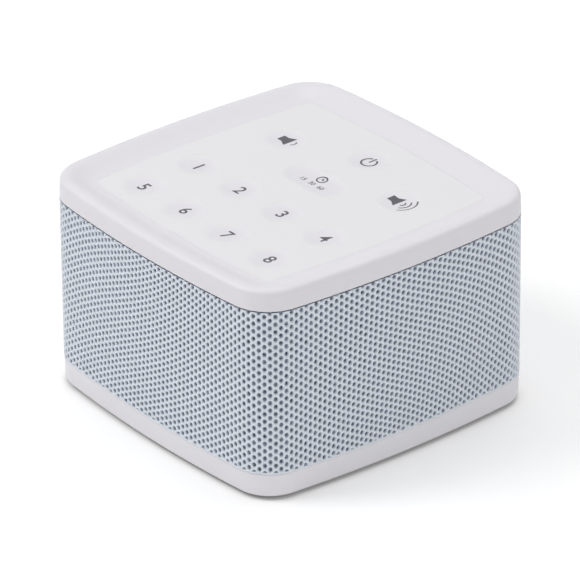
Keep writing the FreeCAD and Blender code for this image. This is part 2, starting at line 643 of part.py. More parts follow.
save("speaker_screws", [screw(M3_SHAFT - 0.2, M3_HEAD - 0.3, 1.7, 7.0, place, FLANGE_TOP, -1)
                        for place in four(EAR_PLACE)])
save("speaker_wires", speaker_wires())
save("power_wires", power_wires())
save("top_cap", top_cap())
save("cap_screws", [screw(M3_SHAFT, M3_HEAD, M3_HEAD_HEIGHT, 11.0, place, WEB_LOW) for place in four(CAP_POST)])
save("key_carrier", key_carrier())
save("key_panel", key_panel())
save("main_board", main_board())
save("board_screws", [screw(SMALL_SHAFT, SMALL_HEAD, SMALL_HEAD_HEIGHT, 5.5, place, BOARD_LOW)
                      for place in BOARD_SCREWS])
save("switch_bodies", switch_bodies())
save("timer_leds", timer_leds())
save("sound_chip", chip(9.0, 8, 1.7, (17.0, -16.0)))
save("amplifier_chip", chip(5.0, 4, 1.6, (-18.0, 24.0)))
save("capacitors", capacitors())
save("board_connectors", board_connectors())
for key_name, key_place in key_places().items():
    save(key_name, round_key(key_place))
save("key_timer", timer_key())
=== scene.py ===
import math

import bmesh
import bpy
from mathutils import Matrix, Vector


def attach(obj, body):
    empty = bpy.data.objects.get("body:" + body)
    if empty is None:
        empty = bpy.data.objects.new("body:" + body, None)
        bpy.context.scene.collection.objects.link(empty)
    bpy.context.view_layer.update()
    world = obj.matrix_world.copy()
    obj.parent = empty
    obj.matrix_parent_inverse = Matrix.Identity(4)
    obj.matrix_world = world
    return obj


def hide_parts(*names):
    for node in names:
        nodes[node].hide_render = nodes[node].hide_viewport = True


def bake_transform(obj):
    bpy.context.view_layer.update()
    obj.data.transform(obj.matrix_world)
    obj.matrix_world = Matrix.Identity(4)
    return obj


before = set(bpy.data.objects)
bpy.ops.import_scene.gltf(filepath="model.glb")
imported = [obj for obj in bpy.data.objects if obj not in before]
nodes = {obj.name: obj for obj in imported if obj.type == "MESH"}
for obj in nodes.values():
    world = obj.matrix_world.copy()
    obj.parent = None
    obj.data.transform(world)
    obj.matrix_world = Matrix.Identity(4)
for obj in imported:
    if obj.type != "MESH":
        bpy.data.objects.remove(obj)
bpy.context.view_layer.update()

MM = 0.001

# Camera: a long lens, 28 degrees above the table, that looks at the corner between the front and
# the right side. Its place, roll and length were fitted to the photograph's outlines.
AZIMUTH, ELEVATION, ROLL = (math.radians(a) for a in (51.475, 28.255, -0.516))
DISTANCE = 1.79218
TARGET = Vector((3.72, -3.11, 36.0)) * MM
LENS = 369.5
toward_camera = Vector((math.sin(AZIMUTH) * math.cos(ELEVATION),
                        -math.cos(AZIMUTH) * math.cos(ELEVATION), math.sin(ELEVATION)))
across = Vector((math.cos(AZIMUTH), math.sin(AZIMUTH), 0))
upward = toward_camera.cross(across)
across, upward = (across * math.cos(ROLL) + upward * math.sin(ROLL),
                  upward * math.cos(ROLL) - across * math.sin(ROLL))
camera = bpy.data.objects.new("camera", bpy.data.cameras.new("camera"))
camera.data.lens = LENS
camera.data.sensor_width = 36.0
camera.data.clip_start, camera.data.clip_end = 0.1, 10.0
camera.matrix_world = Matrix.Translation(TARGET + toward_camera * DISTANCE) @ Matrix(
    (across, upward, toward_camera)).transposed().to_4x4()
bpy.context.scene.collection.objects.link(camera)
bpy.context.scene.camera = camera
bpy.context.scene.view_settings.view_transform = "Standard"


# Materials and the room's light are built from nodes. Signal is what one node gives, Tree adds
# nodes, and Finish is a material round one shader. Every section that follows uses them.
class Signal:
    def __init__(self, tree, socket):
        self.tree, self.socket = tree, socket

    def maths(self, operation, other=0.0, clamp=False):
        return self.tree.add("ShaderNodeMath", {"operation": operation, "use_clamp": clamp},
                             {0: self, 1: other})

    def __add__(self, other):
        return self.maths("ADD", other)

    __radd__ = __add__

    def __sub__(self, other):
        return self.maths("SUBTRACT", other)

    def __rsub__(self, other):
        return self * -1.0 + other

    def __mul__(self, other):
        return self.maths("MULTIPLY", other)

    __rmul__ = __mul__

    def clamped(self):
        return self.maths("ADD", clamp=True)


class Tree:
    def __init__(self, tree):
        self.nodes, self.links = tree.nodes, tree.links
        self.nodes.clear()

    def add(self, kind, settings, inputs, output=0):
        """A node, its settings first, then the values or links of its sockets."""
        node = self.nodes.new(kind)
        for setting, value in settings.items():
            setattr(node, setting, value)
        for socket, value in inputs.items():
            if isinstance(value, Signal):
                self.links.new(value.socket, node.inputs[socket])
            else:
                node.inputs[socket].default_value = value
        return Signal(self, node.outputs[output]) if len(node.outputs) else None


class Finish(Tree):
    def __init__(self, name, plain):
        self.material = bpy.data.materials.new(name)
        self.material.use_nodes = True
        super().__init__(self.material.node_tree)
        surface = self.add("ShaderNodeBsdfPrincipled", {}, plain)
        self.shader = surface.socket.node
        self.add("ShaderNodeOutputMaterial", {}, {"Surface": surface})

    def place(self):
        return self.add("ShaderNodeTexCoord", {}, {}, "Object")

    def along(self, axis):
        """The distance along one axis of the piece, in metres."""
        return self.add("ShaderNodeSeparateXYZ", {}, {0: self.place()}, axis)

    def noise(self, scale, detail=2.0, roughness=0.5):
        """Smooth random numbers from 0 to 1, about that many to the metre."""
        return self.add("ShaderNodeTexNoise", {}, {"Vector": self.place(), "Scale": scale,
                                                   "Detail": detail, "Roughness": roughness})

    def mix(self, share, low, high):
        """A colour between two others. Mix keeps its colour sockets at places 6 and 7."""
        return self.add("ShaderNodeMix", {"data_type": "RGBA"}, {0: share, 6: low, 7: high}, 2)

    def drive(self, socket, signal):
        self.links.new(signal.socket, self.shader.inputs[socket])

    def bump(self, height, depth):
        self.drive("Normal", self.add("ShaderNodeBump", {}, {"Height": height, "Distance": depth}))


def srgb(red, green, blue):
    """A colour as a screen shows it, 0 to 255, as the linear colour that a shader takes."""
    channels = [c / 255 for c in (red, green, blue)]
    linear = [c / 12.92 if c <= 0.04045 else ((c + 0.055) / 1.055) ** 2.4 for c in channels]
    return (*linear, 1.0)


def shade(colour, factor):
    return (*(min(1.0, c * factor) for c in colour[:3]), 1.0)


def grained(finish, roughness, grain=0.00002, grain_scale=2500.0):
    """Gives a finish the faintly uneven sheen and the fine grain of a moulding, its depth in metres."""
    finish.drive("Roughness", finish.noise(400.0) * 0.10 + (roughness - 0.05))
    finish.bump(finish.noise(grain_scale, 3.0, 0.6), grain)


def moulded(name, colour, roughness, grain=0.00002, grain_scale=2500.0, uneven=0.03, plain=None):
    """Moulded or pressed stock: a faintly uneven colour over a grain."""
    finish = Finish(name, plain or {})
    cloud = finish.noise(60.0, 3.0)
    finish.drive("Base Color", finish.mix(cloud, shade(colour, 1 - uneven), shade(colour, 1 + uneven)))
    grained(finish, roughness, grain, grain_scale)
    return finish.material


# Floor and light: a white table in a white room, a large soft lamp high on the left, one overhead
# and a weaker one on the right, so that the shadow lies soft at the right.
FLOOR_SIZE = 6.0
FLOOR_GLOW = 0.058
WORLD_LIGHT = 0.52
WHITE = (1.0, 1.0, 1.0, 1.0)
floor_mesh = bmesh.new()
bmesh.ops.create_grid(floor_mesh, x_segments=1, y_segments=1, size=FLOOR_SIZE / 2)
floor_data = bpy.data.meshes.new("floor")
floor_mesh.to_mesh(floor_data)
floor_mesh.free()
floor = bpy.data.objects.new("floor", floor_data)
bpy.context.scene.collection.objects.link(floor)
floor_finish = Finish("floor_white", {"Base Color": WHITE, "Roughness": 0.9,
                                      "Specular IOR Level": 0.0, "Emission Strength": 1.0})
by_camera = floor_finish.add("ShaderNodeLightPath", {}, {}, "Is Camera Ray")
floor_finish.drive("Emission Color", floor_finish.mix(by_camera, shade(WHITE, 0.0),
                                                      shade(WHITE, FLOOR_GLOW)))
floor_data.materials.append(floor_finish.material)

world = bpy.data.worlds.new("room")
bpy.context.scene.world = world
world.use_nodes = True
room = Tree(world.node_tree)
by_camera, by_gloss, by_glass = (room.add("ShaderNodeLightPath", {}, {}, f"Is {ray} Ray")
                                 for ray in ("Camera", "Glossy", "Transmission"))
seen = by_camera.maths("MAXIMUM", by_gloss).maths("MAXIMUM", by_glass)
dim, bright = (room.add("ShaderNodeBackground", {}, {"Color": WHITE, "Strength": strength})
               for strength in (WORLD_LIGHT, 1.0))
choice = room.add("ShaderNodeMixShader", {}, {0: seen, 1: dim, 2: bright})
room.add("ShaderNodeOutputWorld", {}, {"Surface": choice})


def lamp(name, place, size, power):
    """A round soft lamp of that width in metres and power in watts, turned to the machine."""
    light = bpy.data.lights.new(name, "AREA")
    light.shape = "DISK"
    light.size = size
    light.energy = power
    holder = bpy.data.objects.new(name, light)
    holder.location = place
    holder.rotation_euler = (-Vector(place)).to_track_quat("-Z", "Y").to_euler()
    bpy.context.scene.collection.objects.link(holder)


lamp("key_lamp", (-0.8, -1.0, 1.3), 0.9, 11.0)
lamp("top_lamp", (-0.1, 0.3, 1.8), 1.2, 9.6)
lamp("fill_lamp", (1.6, -0.5, 0.9), 1.0, 4.9)


# Top cap: a white satin moulding round the bowed square, screwed to the frame from below. Its
# skirt has a rounded upper edge, then a narrow crest, then a soft slope down to the key panel.
SIDE, HEIGHT = 110.0 * MM, 70.0 * MM
BOW_RADIUS = 438.0 * MM
CORNER_RADIUS = 13.6 * MM
CAP_LOW = 63.25 * MM
PANEL_TOP = 67.45 * MM
PANEL_LOW = PANEL_TOP - 1.0 * MM
RIM_WIDTH = 11.3 * MM
CAP_WALL = 2.2 * MM
EDGE_ROUND, DRAFT = 1.6 * MM, 0.2 * MM
CREST = DRAFT + EDGE_ROUND + 0.5 * MM
SLOPE_START, SLOPE_END = 2.4 * MM, 5.2 * MM
SIDE_STEPS, CORNER_STEPS = 24, 14
WELD = 0.002 * MM

# The bowed square is four wide arcs and four small ones that meet smoothly: how far each side
# arc's centre and each corner arc's centre lie from the middle, and half a side's angle.
side_reach = BOW_RADIUS - SIDE / 2
tie = BOW_RADIUS - CORNER_RADIUS
corner_centre = (math.sqrt(2 * tie ** 2 - side_reach ** 2) - side_reach) / 2
side_angle = math.atan2(corner_centre, corner_centre + side_reach)


def carry_round(mesh, section, closed=True):
    """Spins a section of (inset, height) points along the four bowed sides and round the corners."""
    side_centre = Vector((-side_reach, 0, 0))
    start = (Matrix.Translation(side_centre) @ Matrix.Rotation(-side_angle, 4, "Z")
             @ Matrix.Translation(-side_centre))
    verts = [mesh.verts.new(start @ Vector((SIDE / 2 - inset, 0, z))) for inset, z in section]
    links = list(zip(verts, verts[1:] + verts[:1] if closed else verts[1:]))
    geometry = verts + [mesh.edges.new(pair) for pair in links]
    for turn in range(4):
        quarter = Matrix.Rotation(turn * math.pi / 2, 3, "Z")
        arcs = ((side_centre, 2 * side_angle, SIDE_STEPS),
                (Vector((corner_centre, corner_centre, 0)), math.pi / 2 - 2 * side_angle, CORNER_STEPS))
        for middle, sweep, steps in arcs:
            geometry = bmesh.ops.spin(mesh, geom=geometry, cent=quarter @ middle, axis=(0, 0, 1),
                                      angle=sweep, steps=steps)["geom_last"]
    bmesh.ops.remove_doubles(mesh, verts=mesh.verts, dist=WELD)


def arc_points(centre, radius, start, end, steps):
    """Points (inset, height) on an arc, angles in degrees."""
    angles = [math.radians(start + (end - start) * i / steps) for i in range(steps + 1)]
    return [(centre[0] + radius * math.cos(a), centre[1] + radius * math.sin(a)) for a in angles]


def finish_piece(name, mesh, material, body="housing", replaced=(), sharp=35.0, recalculate=True):
    """Turns a bmesh into a finished piece that rides on its body. Edges over sharp degrees stay crisp."""
    if recalculate:
        bmesh.ops.recalc_face_normals(mesh, faces=mesh.faces)
    for face in mesh.faces:
        face.smooth = True
    for edge in mesh.edges:
        edge.smooth = len(edge.link_faces) != 2 or edge.calc_face_angle() < math.radians(sharp)
    data = bpy.data.meshes.new(name)
    mesh.to_mesh(data)
    mesh.free()
    data.materials.append(material)
    piece = bpy.data.objects.new(name, data)
    bpy.context.scene.collection.objects.link(piece)
    if body:
        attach(piece, body)
    if replaced:
        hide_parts(*replaced)
    return piece


def curve_points(poles, steps):
    """Points on a cubic curve with four poles."""
    points = []
    for i in range(steps + 1):
        t = i / steps
        weights = ((1 - t) ** 3, 3 * t * (1 - t) ** 2, 3 * t ** 2 * (1 - t), t ** 3)
        points.append(tuple(sum(w * pole[axis] for w, pole in zip(weights, poles)) for axis in (0, 1)))
    return points


outer_edge = arc_points((DRAFT + EDGE_ROUND, HEIGHT - EDGE_ROUND), EDGE_ROUND, 180, 90, 8)
slope = curve_points([(CREST, HEIGHT), (CREST + SLOPE_START, HEIGHT),
                      (CREST + SLOPE_END, PANEL_TOP), (RIM_WIDTH, PANEL_TOP)], 22)
inner_face = [(RIM_WIDTH, PANEL_LOW), (8.0 * MM, PANEL_LOW), (6.2 * MM, 67.6 * MM),
              (3.0 * MM, 68.1 * MM), (CAP_WALL, 67.5 * MM), (CAP_WALL, CAP_LOW)]
lower_lip = [(0.25 * MM, CAP_LOW), (0.04 * MM, CAP_LOW + 0.1 * MM), (0.0, CAP_LOW + 0.3 * MM)]
shell_white = moulded("shell_white", srgb(216, 214, 219), 0.42, uneven=0.006)
cap_mesh = bmesh.new()
carry_round(cap_mesh, outer_edge + slope + inner_face + lower_lip)
finish_piece("top_cap_shell", cap_mesh, shell_white, replaced=["top_cap"])


# Key panel: a soft matt membrane in the recess, one sheet with a hole where each key dips.
# The key discs that follow share the holes' rims, so that no seam shows between them.
KEY_RIM = 6.98 * MM
DISH_DEPTH = 0.6 * MM
TIMER_RIM, TIMER_REACH = 6.28 * MM, 6.4 * MM
TIMER_PLACE = Vector((0.0, 9.9, 0.0)) * MM
KEY_COLUMNS, KEY_ROWS = (-30.2, -10.07, 10.07, 30.2), (-10.8, -31.6)
RIM_STEPS, TIMER_SIDE_STEPS = 64, 12
PANEL_GAP = 0.04 * MM
key_places = {f"sound_{len(KEY_COLUMNS) * row + column + 1}": Vector((x, y, 0.0)) * MM
              for row, y in enumerate(KEY_ROWS) for column, x in enumerate(KEY_COLUMNS)}
key_places["power"] = Vector((0.0, 30.7, 0.0)) * MM
key_places["volume_down"] = Vector((-27.2, 20.5, 0.0)) * MM
key_places["volume_up"] = Vector((27.2, 20.5, 0.0)) * MM


def carry_round_timer(mesh, section):
    """Spins a section of (radius, height) points round the two ends of the wide timer key."""
    right = TIMER_PLACE + Vector((TIMER_REACH, 0, 0))
    left = TIMER_PLACE - Vector((TIMER_REACH, 0, 0))
    verts = [mesh.verts.new(right + Vector((0, -radius, z))) for radius, z in section]
    geometry = verts + [mesh.edges.new(pair) for pair in zip(verts, verts[1:])]
    for centre, to_next in ((right, left - right), (left, right - left)):
        geometry = bmesh.ops.spin(mesh, geom=geometry, cent=centre, axis=(0, 0, 1), angle=math.pi,
                                  steps=RIM_STEPS // 2)["geom_last"]
        geometry = bmesh.ops.spin(mesh, geom=geometry, cent=(0, 0, 0), axis=(0, 0, 1), angle=0.0,
                                  dvec=to_next / TIMER_SIDE_STEPS, steps=TIMER_SIDE_STEPS)["geom_last"]
    bmesh.ops.remove_doubles(mesh, verts=mesh.verts, dist=WELD)


soft_panel = Finish("soft_panel", {})
# Painted shade: the membrane is painted a little darker and more lavender the deeper it dips into a key's
# dish, fully so at the dish's depth.
painted_dish_shade = ((PANEL_TOP - soft_panel.along(2)) * (1 / DISH_DEPTH)).clamped()
soft_panel.drive("Base Color", soft_panel.mix(painted_dish_shade, srgb(219, 218, 220), srgb(215, 213, 219)))
grained(soft_panel, 0.55)
panel_mesh = bmesh.new()
carry_round(panel_mesh, [(RIM_WIDTH + PANEL_GAP, PANEL_TOP)], closed=False)
for place in key_places.values():
    bmesh.ops.create_circle(panel_mesh, segments=RIM_STEPS, radius=KEY_RIM,
                            matrix=Matrix.Translation(place + Vector((0, 0, PANEL_TOP))))
carry_round_timer(panel_mesh, [(TIMER_RIM, PANEL_TOP)])
bmesh.ops.triangle_fill(panel_mesh, use_beauty=True, edges=panel_mesh.edges)
lower = bmesh.ops.extrude_face_region(panel_mesh, geom=panel_mesh.faces[:])["geom"]
bmesh.ops.translate(panel_mesh, verts=[v for v in lower if isinstance(v, bmesh.types.BMVert)],
                    vec=(0, 0, PANEL_LOW - PANEL_TOP))
finish_piece("key_panel_sheet", panel_mesh, soft_panel.material, replaced=["key_panel"])


# Keys: the part of the membrane that dips over each switch, with the stem under it. Its rim meets
# the panel's hole. The wide timer key has no stem here.
KEY_LOW = PANEL_TOP - 1.5 * MM
STEM_RADIUS, STEM_LOW = 2.2 * MM, 64.8 * MM
TIP_RADIUS, TIP_LOW = 1.5 * MM, 63.5 * MM
DISH_STEPS = 16


def dish(distance, rim):
    """Height of the dipped membrane at a distance from the key's middle: flat, then up to the rim."""
    share = min(1.0, distance / rim)
    return PANEL_TOP - DISH_DEPTH * (1 + math.cos(math.pi * share ** 2)) / 2


def dish_section(rim):
    """From the middle of the dish out to the rim, and down the rim's edge."""
    points = [(rim * i / DISH_STEPS, dish(rim * i / DISH_STEPS, rim)) for i in range(DISH_STEPS + 1)]
    return points + [(rim, KEY_LOW)]


def follow_finger(piece):
    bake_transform(piece)


stem = [(STEM_RADIUS, KEY_LOW), (STEM_RADIUS, STEM_LOW), (TIP_RADIUS, STEM_LOW),
        (TIP_RADIUS, TIP_LOW), (0.0, TIP_LOW)]
for key, place in key_places.items():
    key_mesh = bmesh.new()
    section = dish_section(KEY_RIM) + stem
    verts = [key_mesh.verts.new(place + Vector((radius, 0, z))) for radius, z in section]
    edges = [key_mesh.edges.new(pair) for pair in zip(verts, verts[1:])]
    bmesh.ops.spin(key_mesh, geom=verts + edges, cent=place, axis=(0, 0, 1), angle=2 * math.pi,
                   steps=RIM_STEPS, use_merge=True)
    bmesh.ops.remove_doubles(key_mesh, verts=key_mesh.verts, dist=WELD)
    disc = finish_piece("key_" + key + "_membrane", key_mesh, soft_panel.material,
                        body=None, replaced=["key_" + key])
    follow_finger(disc)

timer_mesh = bmesh.new()
carry_round_timer(timer_mesh, dish_section(TIMER_RIM) + [(0.0, KEY_LOW)])
disc = finish_piece("key_timer_membrane", timer_mesh, soft_panel.material,
                    body=None, replaced=["key_timer"])
follow_finger(disc)


# Symbols: dark grey ink printed on the membrane. Plain numbers stand on the sound keys, a clock
# with 15, 30 and 60 on the timer key, and the usual signs for power, quieter and louder.
# They are drawn flat in millimetres, cut into a grid, and laid in the dish. HAIR is as good as none.
INK_LOW, INK_HIGH = -0.010 * MM, 0.016 * MM
INK_GRID = 0.5 * MM
INK_BOLD = 0.013
NUMBER_HEIGHT, MINUTES_HEIGHT = 4.4, 1.8
STROKE, POWER_STROKE, HAND_STROKE = 0.5, 0.62, 0.42
STROKE_WELD = 0.001
HAIR = 0.0001 * MM
ink_grey = moulded("symbol_ink", srgb(76, 75, 81), 0.5, uneven=0.05)


def arc_stroke(mesh, centre, radius, start, sweep, width):
    """A flat stroke along an arc: millimetres, and degrees from +X."""
    direction = Matrix.Rotation(math.radians(start), 3, "Z") @ Vector((1, 0, 0))
    middle = Vector((*centre, 0))
    verts = [mesh.verts.new(middle + direction * (radius + side * width / 2)) for side in (-1, 1)]
    bmesh.ops.spin(mesh, geom=verts + [mesh.edges.new(verts)], cent=middle, axis=(0, 0, 1),
                   angle=math.radians(sweep), steps=math.ceil(sweep / 6))
    bmesh.ops.remove_doubles(mesh, verts=mesh.verts, dist=STROKE_WELD)


def bar(mesh, centre, width, height, flare=1.0):
    """A flat bar, whose right end may flare."""
    block = bmesh.ops.create_grid(mesh, x_segments=1, y_segments=1, size=0.5)["verts"]
    for vert in block:
        vert.co = Vector((vert.co.x * width, vert.co.y * height * (flare if vert.co.x > 0 else 1.0), 0))
    bmesh.ops.translate(mesh, verts=block, vec=(*centre, 0))


def digits(mesh, text, centre, height):
    """Plain numbers of that height, in the built-in sans face."""
    curve = bpy.data.curves.new("digits", "FONT")
    curve.body = text
    curve.resolution_u = 6
    curve.offset = INK_BOLD
    holder = bpy.data.objects.new("digits", curve)
    data = bpy.data.meshes.new_from_object(holder)
    low = Vector([min(v.co[axis] for v in data.vertices) for axis in range(3)])
    high = Vector([max(v.co[axis] for v in data.vertices) for axis in range(3)])
    scale = height / (high.y - low.y)
    data.transform(Matrix.Translation((*centre, 0)) @ Matrix.Scale(scale, 4)
                   @ Matrix.Translation(-(low + high) / 2))
    mesh.from_mesh(data)
    bpy.data.objects.remove(holder)
    bpy.data.curves.remove(curve)
    bpy.data.meshes.remove(data)


def print_symbol(key, mesh, place, rim, reach=0.0):
    """Lays a symbol drawn about its key's middle in the key's dish, which is wider by reach each way."""
    bmesh.ops.scale(mesh, verts=mesh.verts, vec=(MM, MM, MM))
    for axis in (0, 1):
        across_lines = Vector((axis == 0, axis == 1, 0))
        lines = math.floor(max(abs(v.co[axis]) for v in mesh.verts) / INK_GRID)
        for step in range(-lines, lines + 1):
            bmesh.ops.bisect_plane(mesh, geom=mesh.verts[:] + mesh.edges[:] + mesh.faces[:], dist=HAIR,
                                   plane_co=across_lines * (step * INK_GRID), plane_no=across_lines)
    raised = bmesh.ops.extrude_face_region(mesh, geom=mesh.faces[:])["geom"]
    raised = {v for v in raised if isinstance(v, bmesh.types.BMVert)}
    for vert in mesh.verts:
        distance = math.hypot(max(abs(vert.co.x) - reach, 0.0), vert.co.y)
        vert.co.z = dish(distance, rim) + (INK_HIGH if vert in raised else INK_LOW)
    bmesh.ops.translate(mesh, verts=mesh.verts, vec=place)
    piece = finish_piece("key_" + key + "_symbol", mesh, ink_grey, body=None)
    follow_finger(piece)


for number in range(1, len(KEY_COLUMNS) * len(KEY_ROWS) + 1):
    key = "sound_" + str(number)
    symbol = bmesh.new()
    digits(symbol, str(number), (0, 0), NUMBER_HEIGHT)
    print_symbol(key, symbol, key_places[key], KEY_RIM)

symbol = bmesh.new()
arc_stroke(symbol, (0.4, -0.2), 2.45, 112, 316, POWER_STROKE)
bar(symbol, (0.4, 1.35), POWER_STROKE, 3.1)
print_symbol("power", symbol, key_places["power"], KEY_RIM)

symbol = bmesh.new()
bar(symbol, (-1.6, 0.1), 2.0, 3.0)
bar(symbol, (0.65, 0.1), 2.5, 3.0, flare=1.85)
arc_stroke(symbol, (2.6, 0.1), 1.45, -58, 116, STROKE)
print_symbol("volume_down", symbol, key_places["volume_down"], KEY_RIM)

symbol = bmesh.new()
bar(symbol, (-3.8, 0.3), 2.0, 2.9)
bar(symbol, (-1.7, 0.3), 2.2, 2.9, flare=1.9)
for radius in (1.4, 3.1, 5.0):
    arc_stroke(symbol, (0.0, 0.3), radius, -55, 110, STROKE)
print_symbol("volume_up", symbol, key_places["volume_up"], KEY_RIM)

symbol = bmesh.new()
arc_stroke(symbol, (0.4, 2.35), 1.65, 0, 360, STROKE)
bar(symbol, (0.4, 2.8), HAND_STROKE, 1.2)
bar(symbol, (0.85, 2.3), 0.9, HAND_STROKE)
for offset, minutes in ((-3.9, "15"), (0.1, "30"), (4.2, "60")):
    digits(symbol, minutes, (offset, -1.3), MINUTES_HEIGHT)
print_symbol("timer", symbol, TIMER_PLACE, TIMER_RIM, TIMER_REACH)


# Fabric: one knitted spacer mesh stretched over the frame, pale blue-grey, with round holes in
# staggered columns. The corners pull its rows apart and its columns together, so that the
# lines of holes run in soft waves. It is made flat, in three lengths, and then laid round.
FABRIC_LOW, FABRIC_TOP = 8.95 * MM, 62.95 * MM
COLUMNS_AROUND, LENGTHS = 228, 3
HOLE_PITCH = 2.09 * MM
HOLE_WIDTH = 1.28 * MM
# At the corners the rows spread away from a height near HELD_AT, and the columns bunch. The rows
# drop by ROWS_DROPPED on their way round, and the columns lean by a share of their height.
CORNER_STRETCH = 0.19
HELD_AT, HELD_SWING = 35.0 * MM, 21.0 * MM
BUNCHING = 1.0 * MM
ROWS_DROPPED = 7
LEAN, LEAN_SWING = 0.085, 0.08
# The flat knit is made with rows to spare below and above, and is cut to height after it is laid.
KNIT_LOW, KNIT_TOP = -10.09 * MM, 80.0 * MM
KNIT_SPARE = 2.0 * MM
CUT_WELD = 0.001 * MM
# Each hole's rings: share of the way to the hole's edge, the hole's width there as a share of
# HOLE_WIDTH, and depth under the face.
RING_STEPS = ((0.5, 1.0, 0.04 * MM), (1.0, 1.0, 0.22 * MM), (1.0, 0.92, 0.85 * MM))
half_side = BOW_RADIUS * side_angle
quarter_length = 2 * half_side + CORNER_RADIUS * (math.pi / 2 - 2 * side_angle)
column_pitch = 4 * quarter_length / COLUMNS_AROUND


def lay_round(distance, inset, z):
    """The point at a distance along the fabric from the middle of the right side, inset from its face."""
    turns, rest = divmod(distance + half_side, quarter_length)
    if rest <= 2 * half_side:
        angle = (rest - half_side) / BOW_RADIUS
        centre, radius = Vector((-side_reach, 0, 0)), BOW_RADIUS
    else:
        angle = side_angle + (rest - 2 * half_side) / CORNER_RADIUS
        centre, radius = Vector((corner_centre, corner_centre, 0)), CORNER_RADIUS
    out = Vector((math.cos(angle), math.sin(angle), 0))
    quarter = Matrix.Rotation(turns * math.pi / 2, 3, "Z")
    return quarter @ (centre + out * (radius - inset)) + Vector((0, 0, z))


def stretched(along, up):
    """Where a point of the flat knit lies on the machine: how far round, and how high."""
    turn = math.pi / 2 * along / quarter_length
    up += ROWS_DROPPED * HOLE_PITCH * along / (4 * quarter_length)
    at_corner = (1 - math.cos(4 * turn)) / 2
    z = up + CORNER_STRETCH * at_corner * (up - HELD_AT - HELD_SWING * math.sin(turn))
    lean = LEAN + LEAN_SWING * math.sin(2 * turn)
    return along + BUNCHING * math.sin(4 * turn) + lean * (z - HEIGHT / 2), z


def knit_length(first, last):
    """The flat knit from one column to another: X along, Y up, Z out of the face. A grid loses every
    second upright between its rows, and its points then move a sixth of a column to even hexagons."""
    mesh = bmesh.new()
    columns, rows = last - first, 2 * math.ceil((KNIT_TOP - KNIT_LOW) / HOLE_PITCH)
    bmesh.ops.create_grid(mesh, x_segments=columns, y_segments=rows, size=0.5)
    bmesh.ops.scale(mesh, verts=mesh.verts, vec=(columns, rows, 1))
    bmesh.ops.translate(mesh, verts=mesh.verts, vec=(first + columns / 2, rows / 2, 0))
    between = []
    for edge in mesh.edges:
        a, b = (v.co for v in edge.verts)
        if abs(a.y - b.y) < 0.1 and 0 < round(a.y) < rows and (round(min(a.x, b.x)) + round(a.y)) % 2:
            between.append(edge)
    bmesh.ops.dissolve_edges(mesh, edges=between, use_verts=False)
    for vert in mesh.verts:
        vert.co.x += 1 / 6 if (round(vert.co.x) + round(vert.co.y)) % 2 == 0 else -1 / 6
    bmesh.ops.scale(mesh, verts=mesh.verts, vec=(column_pitch, HOLE_PITCH / 2, 1))
    bmesh.ops.translate(mesh, verts=mesh.verts, vec=(0, KNIT_LOW, 0))
    unused = []
    for face in mesh.faces:
        middle = face.calc_center_median()
        height = stretched(middle.x, middle.y)[1]
        if len(face.verts) != 6 or not FABRIC_LOW - KNIT_SPARE < height < FABRIC_TOP + KNIT_SPARE:
            unused.append(face)
    bmesh.ops.delete(mesh, geom=unused, context="FACES")
    bmesh.ops.bisect_edges(mesh, edges=mesh.edges[:], cuts=1)
    return mesh


def open_holes(mesh):
    """Sinks a round hole in each cell of the flat knit, and notes how far in each point lies, 0 to 1."""
    sunk = mesh.verts.layers.float.new("sunk")
    cells = mesh.faces[:]
    middles = [cell.calc_center_median() for cell in cells]
    for share, width, depth in RING_STEPS:
        bmesh.ops.inset_individual(mesh, faces=cells, thickness=HAIR)
        for cell, middle in zip(cells, middles):
            for vert in cell.verts:
                outward = Vector((vert.co.x - middle.x, vert.co.y - middle.y, 0)).normalized()
                vert.co = vert.co.lerp(middle + outward * width * HOLE_WIDTH / 2, share)
                vert.co.z = -depth
                vert[sunk] = depth / RING_STEPS[-1][2]
    bmesh.ops.delete(mesh, geom=cells, context="FACES_ONLY")


yarn = Finish("yarn", {"Roughness": 0.85, "Sheen Weight": 0.3, "Sheen Roughness": 0.6})
fibre = yarn.noise(3200.0, 4.0, 0.65)
strands = yarn.mix(fibre, srgb(202, 209, 219), srgb(236, 241, 248))
# Painted shade: the yarn is painted darker and bluer the deeper it lies in a hole, by its sunk share,
# reaching the full colour at the hole's foot.
painted_hole_shade = yarn.add("ShaderNodeAttribute", {"attribute_name": "sunk"}, {}, "Fac").clamped()
yarn.drive("Base Color", yarn.mix(painted_hole_shade, strands, srgb(142, 153, 175)))
yarn.bump(fibre, 0.00025)
for number in range(LENGTHS):
    columns = COLUMNS_AROUND // LENGTHS
    first = number * columns - COLUMNS_AROUND // 2
    knit = knit_length(first, first + columns)
    open_holes(knit)
    for vert in knit.verts:
        around, z = stretched(vert.co.x, vert.co.y)
        vert.co = lay_round(around, -vert.co.z, z)
    for height, side in ((FABRIC_LOW, -1), (FABRIC_TOP, 1)):
        bmesh.ops.bisect_plane(knit, geom=knit.verts[:] + knit.edges[:] + knit.faces[:], dist=CUT_WELD,
                               plane_co=(0, 0, height), plane_no=(0, 0, side), clear_outer=True)
    piece = finish_piece("fabric_" + str(number + 1), knit, yarn.material,
                         replaced=["fabric_wrap"], sharp=60.0, recalculate=False)


